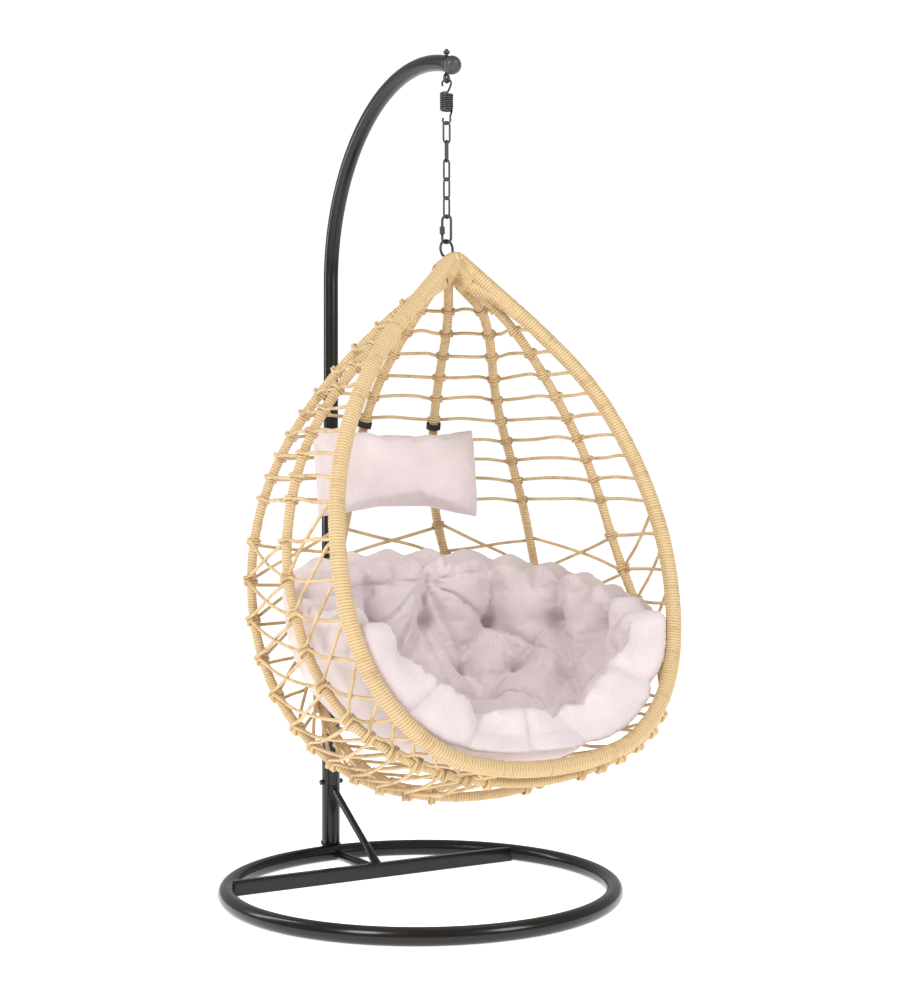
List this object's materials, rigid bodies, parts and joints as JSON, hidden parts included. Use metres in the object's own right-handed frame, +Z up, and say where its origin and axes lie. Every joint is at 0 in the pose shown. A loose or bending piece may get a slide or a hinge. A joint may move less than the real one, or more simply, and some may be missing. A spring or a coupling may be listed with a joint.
{
  "type": "hanging egg chair",
  "caption": "Teardrop rattan swing seat with tufted cushion and head pillow, hung by a spring and chain from a bent steel post on a round base.",
  "frame": {"origin": "on the floor, at the centre of the chair's footprint box, 23 mm in front of the base ring's centre", "axes": "+Z up, -Y the way the sitter faces, +X to the sitter's left, x = 0 the plane through the post and the hanging point"},
  "size_m": [0.95, 1.0503, 1.9732],
  "materials": {
    "black_steel": "gloss",
    "frame_steel": "satin",
    "grey_steel": "satin",
    "black_plastic": "satin",
    "rattan": "satin",
    "cloth": "matte"
  },
  "bodies": {
    "stand": {"base_ring": "black_steel", "base_crossbar": "black_steel", "base_connector": "black_steel", "post_brace": "black_steel", "lower_post": "black_steel", "upper_arm": "black_steel", "arm_end_cap": "black_plastic", "post_bolt": "grey_steel", "post_bolt_nut": "grey_steel", "eye_bolt": "grey_steel", "eye_bolt_nut": "grey_steel"},
    "spring_body": {"spring": "grey_steel"},
    "link_1": {"chain_link_1": "grey_steel"},
    "link_2": {"chain_link_2": "grey_steel"},
    "link_3": {"chain_link_3": "grey_steel"},
    "link_4": {"chain_link_4": "grey_steel"},
    "link_5": {"chain_link_5": "grey_steel"},
    "quick_link_body": {"quick_link": "grey_steel"},
    "sleeve": {"quick_link_nut": "grey_steel"},
    "basket": {"basket_ring": "grey_steel", "apex_binding": "rattan", "rim_frame": "frame_steel", "side_rib_frame": "frame_steel", "middle_rib_frame": "frame_steel", "back_rib_frame": "frame_steel", "rim_wrap": "rattan", "side_rib_wrap": "rattan", "middle_rib_wrap": "rattan", "back_rib_wrap": "rattan", "band_1": "rattan", "band_2": "rattan", "band_3": "rattan", "band_4": "rattan", "band_5": "rattan", "band_6": "rattan", "band_7": "rattan", "band_8": "rattan", "band_9": "rattan", "band_10": "rattan", "lattice_1": "rattan", "lattice_2": "rattan", "lattice_3": "rattan", "lattice_4": "rattan", "lattice_5": "rattan", "lattice_6": "rattan", "lattice_7": "rattan", "lattice_8": "rattan", "lattice_9": "rattan", "lattice_10": "rattan", "lattice_11": "rattan", "seat_cushion": "cloth", "head_pillow": "cloth", "pillow_strap_left": "black_plastic", "pillow_strap_right": "black_plastic"}
  },
  "joints": [
    {"name": "fore_aft_swing", "type": "hinge", "parent": "stand", "child": "spring_body", "pos_m": [0, -0.097, 1.8921], "axis": [1, 0, 0], "range_deg": [-12, 4.5]},
    {"name": "spring_bounce", "type": "slide", "parent": "spring_body", "child": "link_1", "axis": [0, 0, -1], "range_m": [0, 0.02], "stiffness_N_per_m": 40000, "springref_m": -0.014, "deforming": ["spring"]},
    {"name": "link_2_lean", "type": "hinge", "parent": "link_1", "child": "link_2", "pos_m": [0, -0.097, 1.7521], "axis": [0.9962, 0.0872, 0], "range_deg": [-1.5, 1.5]},
    {"name": "side_swing", "type": "hinge", "parent": "link_2", "child": "link_3", "pos_m": [0, -0.097, 1.709], "axis": [0.2588, 0.9659, 0], "range_deg": [-6, 6]},
    {"name": "link_4_lean", "type": "hinge", "parent": "link_3", "child": "link_4", "pos_m": [0, -0.097, 1.6659], "axis": [0.9659, 0.2588, 0], "range_deg": [-1.5, 1.5]},
    {"name": "chain_twist", "type": "hinge", "parent": "link_4", "child": "link_5", "pos_m": [0, -0.097, 1.6228], "axis": [0, 0, 1], "range_deg": [-12, 12]},
    {"name": "quick_link_lean", "type": "hinge", "parent": "link_5", "child": "quick_link_body", "pos_m": [0, -0.097, 1.5797], "axis": [0.9659, 0.2588, 0], "range_deg": [-1.5, 1.5]},
    {"name": "quick_link_sleeve", "type": "slide", "parent": "quick_link_body", "child": "sleeve", "axis": [0, 0, 1], "range_m": [0, 0.011]},
    {"name": "basket_tilt", "type": "hinge", "parent": "quick_link_body", "child": "basket", "pos_m": [0, -0.097, 1.5223], "axis": [0.5736, -0.8192, 0], "range_deg": [-3, 3]}
  ]
}
